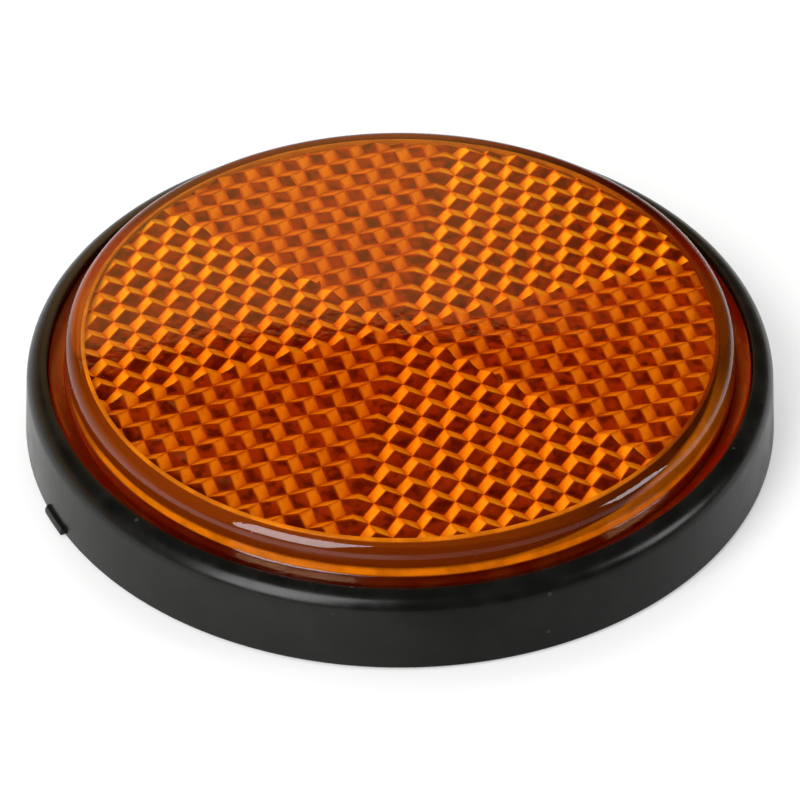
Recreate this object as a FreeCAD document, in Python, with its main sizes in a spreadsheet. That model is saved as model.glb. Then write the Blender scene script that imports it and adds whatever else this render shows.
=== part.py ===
import FreeCAD
import Part
import math
import os
import Sketcher

# Round amber reflector: black cup, domed clear lens with cube-corner prisms behind its face, foam pad in the back.
# Millimetres, +Z up out of the lens, foot of the housing on Z = 0, front of the view towards -Y.

doc = FreeCAD.newDocument("reflector")
sheet = doc.addObject("Spreadsheet::Sheet", "sizes")

sizes = {
    # housing
    "foot_radius": 30.0,  # outer radius where the cup stands
    "wall_draft": 0.4,  # the outer wall leans in by this much up to the lip
    "lip_rounding": 1.5,  # rounded upper edge of the cup
    "lip_land": 0.1,  # flat ring left between the rounding and the bore
    "ledge_width": 2.6,  # ledge that carries the lens
    "cavity_depth": 2.2,  # from the ledge down to the floor
    "floor_thickness": 1.4,
    "core_wall": 1.5,  # outer wall beside the cored slots in the underside
    "core_inner_wall": 1.2,  # wall between the cavity and the slots
    "core_roof": 1.2,  # ledge thickness above the slots
    "core_count": 12,  # slots around the underside
    "core_rib_angle": 4.0,  # rib left between two slots
    "gate_turn": 206.7,  # direction of the gate stub on the foot
    "gate_angle": 5.6,
    "gate_height": 0.9,
    "gate_reach": 0.35,  # how far the stub stands out of the wall
    # lens
    "seat_clearance": 0.1,  # between the flange and the bore
    "flange_width": 1.4,
    "flange_height": 1.8,
    "flange_rounding": 0.25,
    "skirt_rise": 2.5,  # from the flange to the edge of the face
    "rim_rounding": 0.8,
    "dome_rise": 1.1,  # crown of the face above its edge
    "skirt_thickness": 1.3,
    "edge_thickness": 0.6,  # solid plastic behind the edge of the face
    "field_margin": 0.6,  # plain ring between the skirt and the prisms
    "prism_pitch": 2.3,  # centre to centre of two prisms
    "prism_root": 0.1,  # plastic between the plain ring and the tops of the prisms
    "prism_depth": 1.4,  # from the tops of the prisms to their points
    "prism_turn": 21.0,  # direction of one row of prisms
    # pad
    "pad_thickness": 1.0,
    "pad_clearance": 0.3,  # around the pad in its recess
    "recess_margin": 1.0,  # land between the recess and the slots
}
row = 0
for name, value in sizes.items():
    row += 1
    sheet.set(f"A{row}", name)
    sheet.set(f"B{row}", str(value))
    sheet.setAlias(f"B{row}", name)
doc.recompute()


def size(name):
    return float(sheet.get(name))


def formula(text):
    words = text.replace("(", "( ").replace(")", " )").split()
    return " ".join("sizes." + word if word in sizes else word for word in words)


# derived sizes, written once as formulas of the named ones
floorTop = "pad_thickness + floor_thickness"
seatHeight = f"{floorTop} + cavity_depth"
lipHeight = f"{seatHeight} + flange_height"
lipRadius = "foot_radius - wall_draft"
boreRadius = f"{lipRadius} - lip_rounding - lip_land"
ledgeRadius = f"{boreRadius} - ledge_width"
slotInner = f"{ledgeRadius} + core_inner_wall"
slotOuter = "foot_radius - core_wall"
slotTop = f"{seatHeight} - core_roof"
recessRadius = f"{ledgeRadius} - recess_margin"
flangeRadius = f"{boreRadius} - seat_clearance"
skirtRadius = f"{flangeRadius} - flange_width"
skirtInner = f"{skirtRadius} - skirt_thickness"
faceRadius = f"{skirtRadius} - rim_rounding"
fieldRadius = f"{skirtInner} - field_margin"
edgeHeight = f"{lipHeight} + skirt_rise"
crownHeight = f"{edgeHeight} + dome_rise"
backHeight = f"{edgeHeight} - edge_thickness"


def placeOn(sketch, body, plane):
    for item in body.Origin.OriginFeatures:
        if item.Role == plane:
            sketch.AttachmentSupport = [(item, "")]
    sketch.MapMode = "FlatFace"


def tie(sketch, edge, end, axis, text):
    # holds one point of a sketch at a formula from the origin, or on the axis where the formula is "0"
    if text == "0":
        sketch.addConstraint(Sketcher.Constraint("PointOnObject", edge, end, -2 if axis == "X" else -1))
        return
    spot = sketch.getPoint(edge, end)
    value = spot.x if axis == "X" else spot.y
    index = sketch.addConstraint(Sketcher.Constraint("Distance" + axis, -1, 1, edge, end, value))
    sketch.setExpression(f"Constraints[{index}]", formula(text))


def profile(body, label, points, plane="XZ_Plane"):
    # closed outline of straight edges through points given as pairs of formulas with their rough places
    sketch = doc.addObject("Sketcher::SketchObject", label)
    body.addObject(sketch)
    placeOn(sketch, body, plane)
    spots = [FreeCAD.Vector(p[2], p[3], 0) for p in points]
    count = len(spots)
    for index in range(count):
        sketch.addGeometry(Part.LineSegment(spots[index], spots[(index + 1) % count]), False)
    for index in range(count):
        sketch.addConstraint(Sketcher.Constraint("Coincident", index, 2, (index + 1) % count, 1))
    for index, point in enumerate(points):
        tie(sketch, index, 1, "X", point[0])
        tie(sketch, index, 1, "Y", point[1])
    return sketch


def turned(kind, body, label, sketch):
    feature = doc.addObject(kind, label)
    body.addObject(feature)
    feature.Profile = sketch
    feature.ReferenceAxis = (sketch, ["V_Axis"])
    feature.Angle = 360.0
    sketch.Visibility = False
    return feature


def ringEdge(feature, radius, height):
    # name of the round edge of this radius at this height
    for index, edge in enumerate(feature.Shape.Edges):
        box = edge.BoundBox
        level = abs(box.ZMin - height) < 1e-4 and abs(box.ZMax - height) < 1e-4
        if level and abs(box.XMax - radius) < 1e-3:
            return f"Edge{index + 1}"
    raise ValueError(f"no round edge of radius {radius} at {height}")


def rounded(body, label, base, edges, radius):
    feature = doc.addObject("PartDesign::Fillet", label)
    body.addObject(feature)
    feature.Base = (base, edges)
    feature.setExpression("Radius", formula(radius))
    return feature


# plain numbers of the derived sizes that picking edges and laying out the prisms need
lipZ = size("pad_thickness") + size("floor_thickness") + size("cavity_depth") + size("flange_height")
lipR = size("foot_radius") - size("wall_draft")
boreR = lipR - size("lip_rounding") - size("lip_land")
flangeR = boreR - size("seat_clearance")
skirtR = flangeR - size("flange_width")
fieldR = skirtR - size("skirt_thickness") - size("field_margin")
edgeZ = lipZ + size("skirt_rise")
backZ = edgeZ - size("edge_thickness")

# housing: cup with a ledge, turned about the Z axis
housing = doc.addObject("PartDesign::Body", "housing")
housing.Label = "housing"
cup = profile(
    housing,
    "cup_profile",
    [
        ("0", "pad_thickness", 0, 1.0),
        (recessRadius, "pad_thickness", 24.4, 1.0),
        (recessRadius, "0", 24.4, 0),
        ("foot_radius", "0", 30, 0),
        (lipRadius, lipHeight, 29.6, 6.4),
        (boreRadius, lipHeight, 28, 6.4),
        (boreRadius, seatHeight, 28, 4.6),
        (ledgeRadius, seatHeight, 25.4, 4.6),
        (ledgeRadius, floorTop, 25.4, 2.4),
        ("0", floorTop, 0, 2.4),
    ],
)
cupTurned = turned("PartDesign::Revolution", housing, "cup", cup)
doc.recompute()

# rounded lip
lip = rounded(housing, "lip", cupTurned, [ringEdge(cupTurned, lipR, lipZ)], "lip_rounding")
doc.recompute()

# gate stub: a short turned block on the foot
stub = profile(
    housing,
    "gate_profile",
    [
        ("foot_radius - core_wall / 2", "0", 29.25, 0),
        ("foot_radius + gate_reach", "0", 30.35, 0),
        ("foot_radius + gate_reach", "gate_height / 2", 30.35, 0.45),
        ("foot_radius", "gate_height", 30, 0.9),
        ("foot_radius - core_wall / 2", "gate_height", 29.25, 0.9),
    ],
)
stub.AttachmentOffset = FreeCAD.Placement(FreeCAD.Vector(0, 0, 0), FreeCAD.Rotation(FreeCAD.Vector(0, 1, 0), 10))
stub.setExpression("AttachmentOffset.Rotation.Angle", formula("gate_turn"))
gate = turned("PartDesign::Revolution", housing, "gate", stub)
gate.setExpression("Angle", formula("gate_angle"))
gate.Midplane = True
doc.recompute()

# cored slots in the underside, one cut and repeated around the axis
slot = profile(
    housing,
    "slot_profile",
    [
        (slotInner, "0", 26.6, 0),
        (slotOuter, "0", 28.5, 0),
        (slotOuter, slotTop, 28.5, 3.4),
        (slotInner, slotTop, 26.6, 3.4),
    ],
)
slotCut = turned("PartDesign::Groove", housing, "slot", slot)
slotCut.setExpression("Angle", formula("360 / core_count - core_rib_angle"))
slotRing = doc.addObject("PartDesign::PolarPattern", "slots")
housing.addObject(slotRing)
slotRing.Originals = [slotCut]
slotRing.Axis = (slot, ["V_Axis"])
slotRing.Angle = 360.0
slotRing.setExpression("Occurrences", formula("core_count"))
housing.Tip = slotRing
doc.recompute()

# lens cap: domed face, rim, side wall, flange and hollow back, turned about the Z axis
cap = doc.addObject("PartDesign::Body", "cap")
capSketch = doc.addObject("Sketcher::SketchObject", "cap_profile")
cap.addObject(capSketch)
placeOn(capSketch, cap, "XZ_Plane")
capPoints = [
    (skirtRadius, edgeHeight, 26.5, 8.9),
    (skirtRadius, lipHeight, 26.5, 6.4),
    (flangeRadius, lipHeight, 27.9, 6.4),
    (flangeRadius, seatHeight, 27.9, 4.6),
    (f"{flangeRadius} - skirt_thickness", seatHeight, 26.6, 4.6),
    (f"{flangeRadius} - skirt_thickness", f"{lipHeight} - skirt_thickness", 26.6, 5.1),
    (skirtInner, lipHeight, 25.2, 6.4),
    (skirtInner, backHeight, 25.2, 8.3),
    ("0", backHeight, 0, 8.3),
    ("0", crownHeight, 0, 10.0),
]
capSpots = [FreeCAD.Vector(p[2], p[3], 0) for p in capPoints]
capCount = len(capSpots)
for number in range(capCount - 1):
    capSketch.addGeometry(Part.LineSegment(capSpots[number], capSpots[number + 1]), False)
dome = Part.Arc(capSpots[-1], FreeCAD.Vector(13.25, 9.73, 0), capSpots[0])
capSketch.addGeometry(dome, False)
for number in range(capCount - 2):
    capSketch.addConstraint(Sketcher.Constraint("Coincident", number, 2, number + 1, 1))
arcStart = capSketch.getPoint(capCount - 1, 1)
crownEnd = 1 if abs(arcStart.x) < 1.0 else 2
capSketch.addConstraint(Sketcher.Constraint("Coincident", capCount - 2, 2, capCount - 1, crownEnd))
capSketch.addConstraint(Sketcher.Constraint("Coincident", capCount - 1, 3 - crownEnd, 0, 1))
for number, point in enumerate(capPoints[:-1]):
    tie(capSketch, number, 1, "X", point[0])
    tie(capSketch, number, 1, "Y", point[1])
tie(capSketch, capCount - 2, 2, "X", "0")
tie(capSketch, capCount - 2, 2, "Y", crownHeight)
capSketch.addConstraint(Sketcher.Constraint("PointOnObject", capCount - 1, 3, -2))
capTurned = turned("PartDesign::Revolution", cap, "cap_turned", capSketch)
doc.recompute()
rim = rounded(cap, "rim", capTurned, [ringEdge(capTurned, skirtR, edgeZ)], "rim_rounding")
doc.recompute()
flangeEdges = [ringEdge(rim, flangeR, lipZ), ringEdge(rim, skirtR, lipZ)]
flange = rounded(cap, "flange", rim, flangeEdges, "flange_rounding")
cap.Tip = flange
doc.recompute()

# prism field: corner prisms of three faces, points down, in one hexagonal lattice of six mirrored sectors.
# Every vertex lies on one of three levels; each face leans a little less than the side of a cube on its corner.
pitch = size("prism_pitch")
step = pitch / math.sqrt(3)  # plan distance between neighbouring vertices
drop = size("prism_depth") / 2  # height between two levels
rootZ = backZ - size("prism_root")
turn = math.radians(size("prism_turn"))


def spoke(angle, length):
    return (length * math.cos(angle), length * math.sin(angle))


def clip(poly, normal):
    # the part of a polygon on the positive side of a line through the axis
    kept = []
    for index, here in enumerate(poly):
        there = poly[(index + 1) % len(poly)]
        a = here[0] * normal[0] + here[1] * normal[1]
        b = there[0] * normal[0] + there[1] * normal[1]
        if a > -1e-7:
            kept.append(here)
        if (a > 1e-7 and b < -1e-7) or (a < -1e-7 and b > 1e-7):
            t = a / (a - b)
            kept.append(tuple(here[k] + t * (there[k] - here[k]) for k in range(3)))
    return kept if len(kept) > 2 else []


def sectorFaces(middle, reach):
    # faces of one 60 degree sector, which starts at a high vertex on the axis
    left = spoke(middle - math.pi / 3, 1.0)
    right = spoke(middle + math.pi / 3, 1.0)
    one = spoke(middle - math.pi / 6, pitch)
    two = spoke(middle + math.pi / 6, pitch)
    low = spoke(middle, step)
    count = int(reach / (pitch * math.cos(math.pi / 6))) + 2
    found = []
    for i in range(-1, count + 1):
        for j in range(-1, count + 1 - i):
            x = i * one[0] + j * two[0] + low[0]
            y = i * one[1] + j * two[1] + low[1]
            if math.hypot(x, y) > reach + pitch:
                continue
            for k in range(3):
                high = middle + math.pi / 3 + k * 2 * math.pi / 3
                corner = [(x, y, rootZ - 2 * drop)]
                for side, level in ((-math.pi / 3, 1), (0, 0), (math.pi / 3, 1)):
                    dx, dy = spoke(high + side, step)
                    corner.append((x + dx, y + dy, rootZ - level * drop))
                poly = clip(clip(corner, left), right)
                if poly:
                    found.append(poly)
    return found


def prismSolid(reach):
    # closed block: prism faces below, flat top inside the lens, straight sides well outside the field
    polys = []
    for sector in range(6):
        polys += sectorFaces(turn + math.radians(30 + 60 * sector), reach)
    points = []
    known = {}
    loops = []
    for poly in polys:
        loop = []
        for spot in poly:
            key = tuple(round(value, 4) + 0.0 for value in spot)
            if key not in known:
                known[key] = len(points)
                points.append(FreeCAD.Vector(*spot))
            if known[key] not in loop:
                loop.append(known[key])
        if len(loop) > 2:
            loops.append(loop)
    uses = {}
    for loop in loops:
        for a, b in zip(loop, loop[1:] + loop[:1]):
            uses[frozenset((a, b))] = uses.get(frozenset((a, b)), 0) + 1
    faces = [Part.Face(Part.makePolygon([points[n] for n in loop + loop[:1]])) for loop in loops]
    top = backZ + size("edge_thickness") / 4
    outer = {}
    for loop in loops:
        for a, b in zip(loop, loop[1:] + loop[:1]):
            if uses[frozenset((a, b))] == 1:
                outer[a] = b
                high = [FreeCAD.Vector(points[n].x, points[n].y, top) for n in (b, a)]
                faces.append(Part.Face(Part.makePolygon([points[a], points[b]] + high + [points[a]])))
    start = next(iter(outer))
    ring = [start]
    while outer[ring[-1]] != start:
        ring.append(outer[ring[-1]])
    lid = [FreeCAD.Vector(points[n].x, points[n].y, top) for n in ring]
    faces.append(Part.Face(Part.makePolygon(lid + lid[:1])))
    shell = Part.Shell(faces)
    shell.sewShape()
    solid = Part.Solid(Part.Shell(shell.Faces))
    if solid.Volume < 0:
        solid.reverse()
    return solid


field = doc.addObject("Part::Feature", "prism_block")
field.Shape = prismSolid(fieldR)
bound = doc.addObject("Part::Cylinder", "field_bound")
bound.setExpression("Radius", formula(fieldRadius))
bound.setExpression("Height", formula(backHeight))
bound.setExpression("Placement.Base.z", formula("edge_thickness / 2"))
prisms = doc.addObject("Part::Common", "prisms")
prisms.Base = field
prisms.Tool = bound
lens = doc.addObject("Part::Fuse", "lens")
lens.Base = cap
lens.Tool = prisms
lens.Label = "lens"
doc.recompute()

# foam pad in the recess of the back, flush with the foot
pad = doc.addObject("Part::Cylinder", "adhesive_pad")
pad.Label = "adhesive_pad"
pad.setExpression("Radius", formula(f"{recessRadius} - pad_clearance"))
pad.setExpression("Height", formula("pad_thickness"))
doc.recompute()

for item in doc.Objects:
    if "Invalid" in item.State or "Error" in item.State:
        raise ValueError(f"{item.Name} did not build: {item.State}")
    if hasattr(item, "Shape") and item.TypeId.split("::")[0] in ("Part", "PartDesign"):
        if item.Shape.isNull() or not item.Shape.isValid():
            raise ValueError(f"{item.Name} has no valid shape")

os.makedirs("parts", exist_ok=True)
for item in (housing, lens, pad):
    solids = item.Shape.Solids
    if len(solids) != 1:
        raise ValueError(f"{item.Label} has {len(solids)} solids")
    item.Shape.exportStep(f"parts/{item.Label}.step")
    box = item.Shape.BoundBox
    print(item.Label, "volume", round(item.Shape.Volume, 1), "faces", len(item.Shape.Faces))
    print("  from", round(box.XMin, 3), round(box.YMin, 3), round(box.ZMin, 3), end=" ")
    print("to", round(box.XMax, 3), round(box.YMax, 3), round(box.ZMax, 3))
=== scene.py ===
import math

import bmesh
import bpy
from mathutils import Matrix, Vector, noise


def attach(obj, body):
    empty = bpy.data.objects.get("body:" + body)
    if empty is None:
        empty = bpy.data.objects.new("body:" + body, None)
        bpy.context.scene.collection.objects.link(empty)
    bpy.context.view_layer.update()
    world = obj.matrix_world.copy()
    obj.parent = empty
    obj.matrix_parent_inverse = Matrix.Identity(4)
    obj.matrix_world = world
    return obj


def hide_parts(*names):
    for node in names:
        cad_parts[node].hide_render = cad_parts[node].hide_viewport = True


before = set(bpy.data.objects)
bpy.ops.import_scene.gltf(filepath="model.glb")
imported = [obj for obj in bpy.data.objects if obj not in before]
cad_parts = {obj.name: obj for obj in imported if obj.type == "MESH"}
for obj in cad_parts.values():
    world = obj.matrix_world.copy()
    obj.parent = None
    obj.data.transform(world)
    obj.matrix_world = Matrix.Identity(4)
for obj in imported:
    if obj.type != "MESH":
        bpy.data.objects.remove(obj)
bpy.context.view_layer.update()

mm = 0.001
scene = bpy.context.scene
scene.view_settings.view_transform = "Standard"
print("frame loaded:", ", ".join(sorted(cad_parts)))


# small helpers for meshes

def roundedOutline(corners, steps=6):
    # corners are (r, z, rounding) in mm; each rounding becomes a run of points
    line = []
    count = len(corners)
    for i, (r, z, rounding) in enumerate(corners):
        here = Vector((r, z))
        if rounding <= 0:
            line.append(here)
            continue
        before = Vector(corners[i - 1][:2]) - here
        after = Vector(corners[(i + 1) % count][:2]) - here
        half = before.angle(after) / 2
        reach = rounding / math.tan(half)
        inwards = (before.normalized() + after.normalized()).normalized()
        middle = here + inwards * (rounding / math.sin(half))
        start = here + before.normalized() * reach - middle
        stop = here + after.normalized() * reach - middle
        turn = start.angle_signed(stop)
        for k in range(steps + 1):
            a = -turn * k / steps
            cos, sin = math.cos(a), math.sin(a)
            line.append(middle + Vector((start.x * cos - start.y * sin, start.x * sin + start.y * cos)))
    return [(p.x, p.y) for p in line]


def polar(r, z, a):
    return (r * mm * math.cos(a), r * mm * math.sin(a), z * mm)


def meshFrom(bm, name):
    mesh = bpy.data.meshes.new(name)
    bm.to_mesh(mesh)
    bm.free()
    return mesh


def turnedMesh(name, outline, segments):
    # closed outline from axis to axis, or a closed ring, turned about Z
    bm = bmesh.new()
    rings = []
    for r, z in outline:
        if r < 1e-6:  # on the axis
            rings.append([bm.verts.new((0, 0, z * mm))])
        else:
            rings.append([bm.verts.new(polar(r, z, 2 * math.pi * k / segments)) for k in range(segments)])
    for i in range(len(rings)):
        one, two = rings[i], rings[(i + 1) % len(rings)]
        if len(one) == 1 and len(two) == 1:
            continue
        for k in range(segments):
            n = (k + 1) % segments
            loop = [one[k % len(one)], one[n % len(one)], two[n % len(two)], two[k % len(two)]]
            bm.faces.new(list(dict.fromkeys(loop)))
    bmesh.ops.recalc_face_normals(bm, faces=bm.faces)
    return meshFrom(bm, name)


def pieceFrom(name, mesh):
    piece = bpy.data.objects.new(name, mesh)
    scene.collection.objects.link(piece)
    return piece


def settle(piece):
    # bake modifiers into a plain mesh
    graph = bpy.context.evaluated_depsgraph_get()
    mesh = bpy.data.meshes.new_from_object(piece.evaluated_get(graph))
    piece.modifiers.clear()
    old = piece.data
    piece.data = mesh
    bpy.data.meshes.remove(old)
    mesh.name = piece.name


def combine(piece, other, how):
    step = piece.modifiers.new(how.lower(), "BOOLEAN")
    step.operation = how
    step.solver = "EXACT"
    step.object = other
    settle(piece)
    mesh = other.data
    bpy.data.objects.remove(other)
    bpy.data.meshes.remove(mesh)


def smoothBy(piece, degrees):
    mesh = piece.data
    mesh.polygons.foreach_set("use_smooth", [True] * len(mesh.polygons))
    mesh.set_sharp_from_angle(angle=math.radians(degrees))
    mesh.update()


# node helpers, for Geometry Nodes and shaders

def addNode(tree, kind, **values):
    node = tree.nodes.new(kind)
    for key, value in values.items():
        setattr(node, key, value)
    return node


def wire(tree, source, target):
    tree.links.new(source, target)


def feed(tree, value, socket):
    # a number, a colour or the output of another node
    if isinstance(value, (int, float)):
        socket.default_value = value
    elif isinstance(value, tuple):
        socket.default_value = (*value, 1)
    else:
        wire(tree, value, socket)


def compute(tree, how, *values):
    node = addNode(tree, "ShaderNodeMath", operation=how)
    for socket, value in zip(node.inputs, values):
        feed(tree, value, socket)
    return node.outputs[0]


def apart(tree, vector):
    node = addNode(tree, "ShaderNodeSeparateXYZ")
    wire(tree, vector, node.inputs[0])
    return node.outputs


def newGroup(name, treeKind, inputs, outputs):
    tree = bpy.data.node_groups.new(name, treeKind)
    for label, kind, value in inputs:
        socket = tree.interface.new_socket(label, in_out="INPUT", socket_type=kind)
        if value is not None:
            socket.default_value = value
    for label, kind in outputs:
        tree.interface.new_socket(label, in_out="OUTPUT", socket_type=kind)
    return tree, addNode(tree, "NodeGroupInput"), addNode(tree, "NodeGroupOutput")


def finishShape(tree, shape, start, stop):
    # last step of a Geometry Nodes tree: its material
    finish = addNode(tree, "GeometryNodeSetMaterial")
    wire(tree, shape, finish.inputs["Geometry"])
    wire(tree, start.outputs["Material"], finish.inputs["Material"])
    wire(tree, finish.outputs[0], stop.inputs[0])


def setInputs(modifier, values):
    for item in modifier.node_group.interface.items_tree:
        if item.item_type == "SOCKET" and item.in_out == "INPUT" and item.name in values:
            modifier[item.identifier] = values[item.name]


# amber lens: domed cap with a field of cube-corner prisms on its back

lensLook = {
    "crown": 10.0,  # mm above the foot
    "edge": 8.9,
    "skirt": 26.5,
    "rimRounding": 1.2,
    "flangeTop": 6.1,
    "flange": 27.9,
    "flangeRounding": 0.25,
    "seat": 4.63,
    "seatRounding": 0.1,
    "skirtInner": 25.2,
    "footInner": 26.6,
    "footTop": 5.1,
    "footRounding": 0.2,
    "back": 8.3,
    "backRounding": 0.15,
    "domeSteps": 24,
    "rimSteps": 10,
    "field": 24.9,  # radius of the prism field
    "fieldSegments": 240,
    "fieldLow": 1.0,  # mm, well below the prisms
    "fieldRise": 0.2,  # how far the prism block reaches into the plastic above it
    "blockRise": 0.3,  # and before it is cut to that
    "pitch": 2.3,
    "root": 8.2,  # level of the upper prism corners
    "drop": 0.70,  # height between two levels of prism corners
    "turn": 21.0,  # degrees, direction of one row of prisms
    "core": 0.4,  # share of a prism side that belongs to its edges
    "pillow": 0.035,  # how far the middle of a prism side stands out
    "uneven": 0.12,  # moulded corners wander a little
    "unevenScale": 900,  # per metre
    "cutWithin": 0.001,  # mm, tolerances for cutting, joining and thin slivers
    "joinWithin": 0.005,
    "sliver": 0.002,
    "sharp": 35,  # degrees
    "segments": 320,
}


def lensOutline(look):
    # dome as an arc through crown and edge, then rim, wall, flange and the hollow back
    rise = look["crown"] - look["edge"]
    ball = (look["skirt"] ** 2 + rise ** 2) / (2 * rise)
    centre = look["crown"] - ball
    cut = look["rimRounding"]
    mid = look["skirt"] - cut  # centre of the rim arc
    low = centre + math.sqrt((ball - cut) ** 2 - mid ** 2)
    reach = math.atan2(mid, low - centre)
    line = [(0.0, look["crown"])]
    for k in range(1, look["domeSteps"] + 1):
        a = reach * k / look["domeSteps"]
        line.append((ball * math.sin(a), centre + ball * math.cos(a)))
    for k in range(1, look["rimSteps"] + 1):
        a = reach + (math.pi / 2 - reach) * k / look["rimSteps"]
        line.append((mid + cut * math.sin(a), low + cut * math.cos(a)))
    lower = roundedOutline([
        (look["skirt"], low, 0),
        (look["skirt"], look["flangeTop"], look["flangeRounding"]),
        (look["flange"], look["flangeTop"], look["flangeRounding"]),
        (look["flange"], look["seat"], look["seatRounding"]),
        (look["footInner"], look["seat"], look["seatRounding"]),
        (look["footInner"], look["footTop"], look["footRounding"]),
        (look["skirtInner"], look["flangeTop"], look["footRounding"]),
        (look["skirtInner"], look["back"], look["backRounding"]),
        (0.0, look["back"], 0),
    ])
    return line + lower[1:]


def prismTree():
    # lattice of cube corners for one wide sector, laid out by Geometry Nodes
    tree, start, stop = newGroup("prismField", "GeometryNodeTree", [
        ("Geometry", "NodeSocketGeometry", None),
        ("Pitch", "NodeSocketFloat", None),
        ("Reach", "NodeSocketFloat", None),
        ("Count", "NodeSocketInt", None),
        ("Material", "NodeSocketMaterial", None),
    ], [("Geometry", "NodeSocketGeometry")])
    pitch, count = start.outputs["Pitch"], start.outputs["Count"]
    position = addNode(tree, "GeometryNodeInputPosition").outputs[0]
    side = compute(tree, "SUBTRACT", count, 1)
    grid = addNode(tree, "GeometryNodeMeshGrid")
    for axis in "XY":
        wire(tree, side, grid.inputs["Size " + axis])
        wire(tree, count, grid.inputs["Vertices " + axis])
    spot = apart(tree, position)
    shift = compute(tree, "SUBTRACT", compute(tree, "DIVIDE", side, 2), 2)  # starts two cells before the axis
    i = compute(tree, "ADD", spot["X"], shift)
    j = compute(tree, "ADD", spot["Y"], shift)
    along = compute(tree, "MULTIPLY", compute(tree, "ADD", i, j), math.cos(math.pi / 6))
    along = compute(tree, "ADD", along, 1 / math.sqrt(3))  # the first low corner lies one step from the axis
    across = compute(tree, "MULTIPLY", compute(tree, "SUBTRACT", j, i), 0.5)
    place = addNode(tree, "ShaderNodeCombineXYZ")
    wire(tree, compute(tree, "MULTIPLY", along, pitch), place.inputs["X"])
    wire(tree, compute(tree, "MULTIPLY", across, pitch), place.inputs["Y"])
    lay = addNode(tree, "GeometryNodeSetPosition")
    wire(tree, grid.outputs["Mesh"], lay.inputs["Geometry"])
    wire(tree, place.outputs[0], lay.inputs["Position"])
    length = addNode(tree, "ShaderNodeVectorMath", operation="LENGTH")
    wire(tree, position, length.inputs[0])
    far = addNode(tree, "FunctionNodeCompare", operation="GREATER_THAN")
    wire(tree, length.outputs["Value"], far.inputs["A"])
    wire(tree, start.outputs["Reach"], far.inputs["B"])
    trim = addNode(tree, "GeometryNodeDeleteGeometry", domain="POINT")
    wire(tree, lay.outputs[0], trim.inputs["Geometry"])
    wire(tree, far.outputs[0], trim.inputs["Selection"])
    cells = addNode(tree, "GeometryNodeInstanceOnPoints")
    wire(tree, trim.outputs[0], cells.inputs["Points"])
    wire(tree, start.outputs["Geometry"], cells.inputs["Instance"])
    real = addNode(tree, "GeometryNodeRealizeInstances")
    wire(tree, cells.outputs[0], real.inputs[0])
    merge = addNode(tree, "GeometryNodeMergeByDistance")
    merge.inputs["Distance"].default_value = 0.00001  # m
    wire(tree, real.outputs[0], merge.inputs["Geometry"])
    finishShape(tree, merge.outputs[0], start, stop)
    return tree


def prismCell(look):
    # one cube corner: three sides around a low point, each with an inner part that stands out a little
    step = look["pitch"] / math.sqrt(3) * mm
    drop = look["drop"] * mm
    bm = bmesh.new()
    low = bm.verts.new((0, 0, look["root"] * mm - 2 * drop))
    rim = []
    for k in range(6):  # middle and high corners take turns around the low one
        a = math.radians(60 * k)
        z = look["root"] * mm - (drop if k % 2 == 0 else 0)
        rim.append(bm.verts.new((step * math.cos(a), step * math.sin(a), z)))
    core = bm.loops.layers.uv.new("core")
    part = look["core"] / 2
    levels = [1.0, 0.5, 0.0, 0.5, 1 - part, 0.5, part, 0.5]  # 1 at the point of the prism
    for k in (0, 2, 4):
        outer = [low, rim[k], rim[k + 1], rim[(k + 2) % 6]]
        centre = sum((v.co for v in outer), Vector()) / 4
        out = (outer[1].co - outer[0].co).cross(outer[3].co - outer[0].co).normalized()
        swell = out * (-look["pillow"] * mm if out.z > 0 else look["pillow"] * mm)
        inner = [bm.verts.new(v.co.lerp(centre, look["core"]) + swell) for v in outer]
        along = dict(zip(outer + inner, levels))
        sides = [(outer[n], outer[(n + 1) % 4], inner[(n + 1) % 4], inner[n]) for n in range(4)]
        for corners in sides + [inner]:
            for corner in bm.faces.new(corners).loops:
                corner[core].uv = (1.0 if corner.vert in inner else 0.0, along[corner.vert])
    return meshFrom(bm, "prismCell")


def prismBlock(look, material):
    # the cube corner repeated, cut to a sixth of the field, turned six times and closed above
    piece = pieceFrom("prismField", prismCell(look))
    repeat = piece.modifiers.new("prisms", "NODES")
    repeat.node_group = prismTree()
    setInputs(repeat, {
        "Pitch": look["pitch"] * mm,
        "Reach": (look["field"] + 2 * look["pitch"]) * mm,
        "Count": int(look["field"] / look["pitch"] * 1.2) + 5,  # some more than the sector needs
        "Material": material,
    })
    settle(piece)
    bm = bmesh.new()
    bm.from_mesh(piece.data)
    for side in (-1, 1):  # keep the 60 degree sector around +X
        a = math.radians(30) * side
        out = Vector((-math.sin(a) * side, math.cos(a) * side, 0))
        everything = bm.verts[:] + bm.edges[:] + bm.faces[:]
        bmesh.ops.bisect_plane(
            bm, geom=everything, dist=look["cutWithin"] * mm, plane_co=(0, 0, 0), plane_no=out, clear_outer=True)
    sector = meshFrom(bm, "prismSector")
    bm = bmesh.new()
    for k in range(6):
        bm.from_mesh(sector)
        sector.transform(Matrix.Rotation(math.radians(60), 4, "Z"))
    bmesh.ops.remove_doubles(bm, verts=bm.verts, dist=look["joinWithin"] * mm)
    turn = Matrix.Rotation(math.radians(look["turn"] + 30), 3, "Z")
    bmesh.ops.rotate(bm, verts=bm.verts, cent=(0, 0, 0), matrix=turn)
    bmesh.ops.dissolve_degenerate(bm, edges=bm.edges, dist=look["sliver"] * mm)
    top = (look["back"] + look["blockRise"]) * mm
    for part in bmesh.ops.extrude_face_region(bm, geom=bm.faces[:], use_keep_orig=True)["geom"]:
        if isinstance(part, bmesh.types.BMVert):
            part.co.z = top
    bmesh.ops.recalc_face_normals(bm, faces=bm.faces)
    bm.to_mesh(piece.data)
    bm.free()
    bpy.data.meshes.remove(sector)
    return piece


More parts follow.
